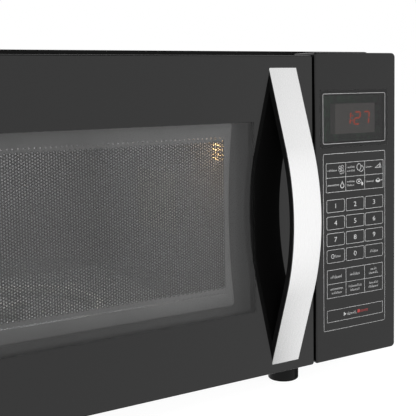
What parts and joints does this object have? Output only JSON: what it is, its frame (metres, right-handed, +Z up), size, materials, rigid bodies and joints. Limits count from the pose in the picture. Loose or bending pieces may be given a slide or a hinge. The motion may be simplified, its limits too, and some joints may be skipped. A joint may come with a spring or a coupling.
{
  "type": "microwave oven",
  "caption": "Countertop microwave oven with grill: side-hinged door with a bowed handle, perforated window screen, glass turntable and a flat touch keypad.",
  "frame": {"origin": "middle of the bounding box, on the surface that the feet stand on", "axes": "+Z up; the door and the control panel face -Y; +X to the right of someone facing the door"},
  "size_m": [0.5238, 0.452, 0.3125],
  "materials": {
    "gloss_black": "high gloss",
    "panel_gloss": "high gloss",
    "keypad_film": "gloss printed film",
    "window_glass": "tinted clear",
    "clear_glass": "clear",
    "lamp_glass": "clear, lit",
    "display_glass": "smoked",
    "led_red": "red segments on a dark face",
    "black_enamel": "satin powder coat",
    "zinc_steel": "galvanised sheet",
    "bright_steel": "bright",
    "cavity_enamel": "semi-gloss grey enamel",
    "screen_enamel": "dark grey enamel",
    "handle_steel": "brushed along its length",
    "black_plastic": "satin",
    "rubber": "matt",
    "white_plastic": "satin",
    "red_plastic": "satin",
    "grill_steel": "heat-dulled sheath",
    "clip_steel": "bright",
    "mica": "flaky sheet",
    "lamp_ceramic": "matt",
    "magnetron_metal": "plain",
    "core_iron": "varnished laminations",
    "copper": "enamelled wire",
    "circuit_board": "solder mask",
    "component_black": "moulded cases",
    "fan_plastic": "satin"
  },
  "bodies": {
    "case": {"back_panel": "zinc_steel", "base_plate": "zinc_steel", "board_components": "component_black", "capacitor": "magnetron_metal", "cavity_ceiling": "cavity_enamel", "cavity_floor": "cavity_enamel", "cavity_left_wall": "cavity_enamel", "cavity_rear_wall": "cavity_enamel", "cavity_right_wall": "cavity_enamel", "control_board": "circuit_board", "control_housing": "panel_gloss", "cord_gland": "black_plastic", "cover_screws": "bright_steel", "display_lens": "display_glass", "display_module": "led_red", "door_switches": "black_plastic", "fan_motor": "component_black", "fan_shroud": "black_plastic", "feet": "rubber", "filter_board": "circuit_board", "front_frame": "black_enamel", "grill_clips": "clip_steel", "grill_element": "grill_steel", "high_voltage_diode": "component_black", "hinge_brackets": "zinc_steel", "hinge_pins": "bright_steel", "keypad_overlay": "keypad_film", "lamp_bulb": "lamp_glass", "lamp_holder": "lamp_ceramic", "latch_board": "black_plastic", "magnetron": "magnetron_metal", "outer_cover": "black_enamel", "thermal_cutouts": "clip_steel", "transformer_core": "core_iron", "transformer_windings": "copper", "turntable_motor": "bright_steel", "waveguide": "zinc_steel", "waveguide_cover": "mica"},
    "door": {"door_frame": "gloss_black", "door_window": "window_glass", "door_screen": "screen_enamel", "door_choke": "screen_enamel", "choke_cover": "black_plastic", "door_inner_pane": "clear_glass", "hinge_bushes": "white_plastic", "latch_spring": "bright_steel", "handle_strip": "handle_steel", "handle_back": "black_plastic", "handle_screws": "bright_steel"},
    "door_latch": {"latch_hooks": "white_plastic"},
    "turntable_drive": {"turntable_shaft": "bright_steel", "drive_coupler": "white_plastic"},
    "tray": {"glass_tray": "clear_glass"},
    "roller_carrier": {"roller_ring": "white_plastic"},
    "wheel_1": {"roller_1": "white_plastic"},
    "wheel_2": {"roller_2": "white_plastic"},
    "wheel_3": {"roller_3": "white_plastic"},
    "fan": {"fan_blade": "fan_plastic"},
    "interlock": {"interlock_lever": "white_plastic"},
    "switch_buttons": {"switch_plungers": "red_plastic"}
  },
  "joints": [
    {"name": "door_hinge", "type": "hinge", "parent": "case", "child": "door", "pos_m": [-0.2549, -0.1676, 0.1675], "axis": [0, 0, -1], "range_deg": [0, 105]},
    {"name": "latch_slide", "type": "slide", "parent": "door", "child": "door_latch", "axis": [0, 0, 1], "range_m": [0, 0.005], "stiffness_N_per_m": 200, "deforming": ["latch_spring"]},
    {"name": "turntable_spin", "type": "hinge", "parent": "case", "child": "turntable_drive", "pos_m": [-0.055, 0.0169, 0.0575], "axis": [0, 0, 1], "continuous": true},
    {"name": "tray_lift", "type": "slide", "parent": "turntable_drive", "child": "tray", "axis": [0, 0, 1], "range_m": [0, 0.06]},
    {"name": "roller_ring_spin", "type": "hinge", "parent": "case", "child": "roller_carrier", "pos_m": [-0.055, 0.0169, 0.0575], "axis": [0, 0, 1], "continuous": true},
    {"name": "fan_spin", "type": "hinge", "parent": "case", "child": "fan", "pos_m": [0.192, 0.194, 0.2175], "axis": [0, 1, 0], "continuous": true},
    {"name": "interlock_swing", "type": "hinge", "parent": "case", "child": "interlock", "pos_m": [0.152, -0.1292, 0.1065], "axis": [-1, 0, 0], "range_deg": [0, 8]},
    {"name": "switch_button_travel", "type": "slide", "parent": "case", "child": "switch_buttons", "axis": [0, -1, 0], "range_m": [0, 0.0015]},
    {"name": "wheel_1_spin", "type": "hinge", "parent": "roller_carrier", "child": "wheel_1", "pos_m": [0.02987, 0.0659, 0.0645], "axis": [0.866, 0.5, 0], "continuous": true},
    {"name": "wheel_2_spin", "type": "hinge", "parent": "roller_carrier", "child": "wheel_2", "pos_m": [-0.13987, 0.0659, 0.0645], "axis": [-0.866, 0.5, 0], "continuous": true},
    {"name": "wheel_3_spin", "type": "hinge", "parent": "roller_carrier", "child": "wheel_3", "pos_m": [-0.055, -0.0811, 0.0645], "axis": [0, -1, 0], "continuous": true}
  ],
  "couplings": [
    {"joint": "roller_ring_spin", "follows": "turntable_spin", "ratio": 0.5},
    {"joint": "wheel_1_spin", "follows": "turntable_spin", "ratio": -7},
    {"joint": "wheel_2_spin", "follows": "turntable_spin", "ratio": -7},
    {"joint": "wheel_3_spin", "follows": "turntable_spin", "ratio": -7},
    {"joint": "interlock_swing", "follows": "door_hinge", "ratio": 0.076189},
    {"joint": "switch_button_travel", "follows": "door_hinge", "m_per_rad": 0.0008185}
  ]
}
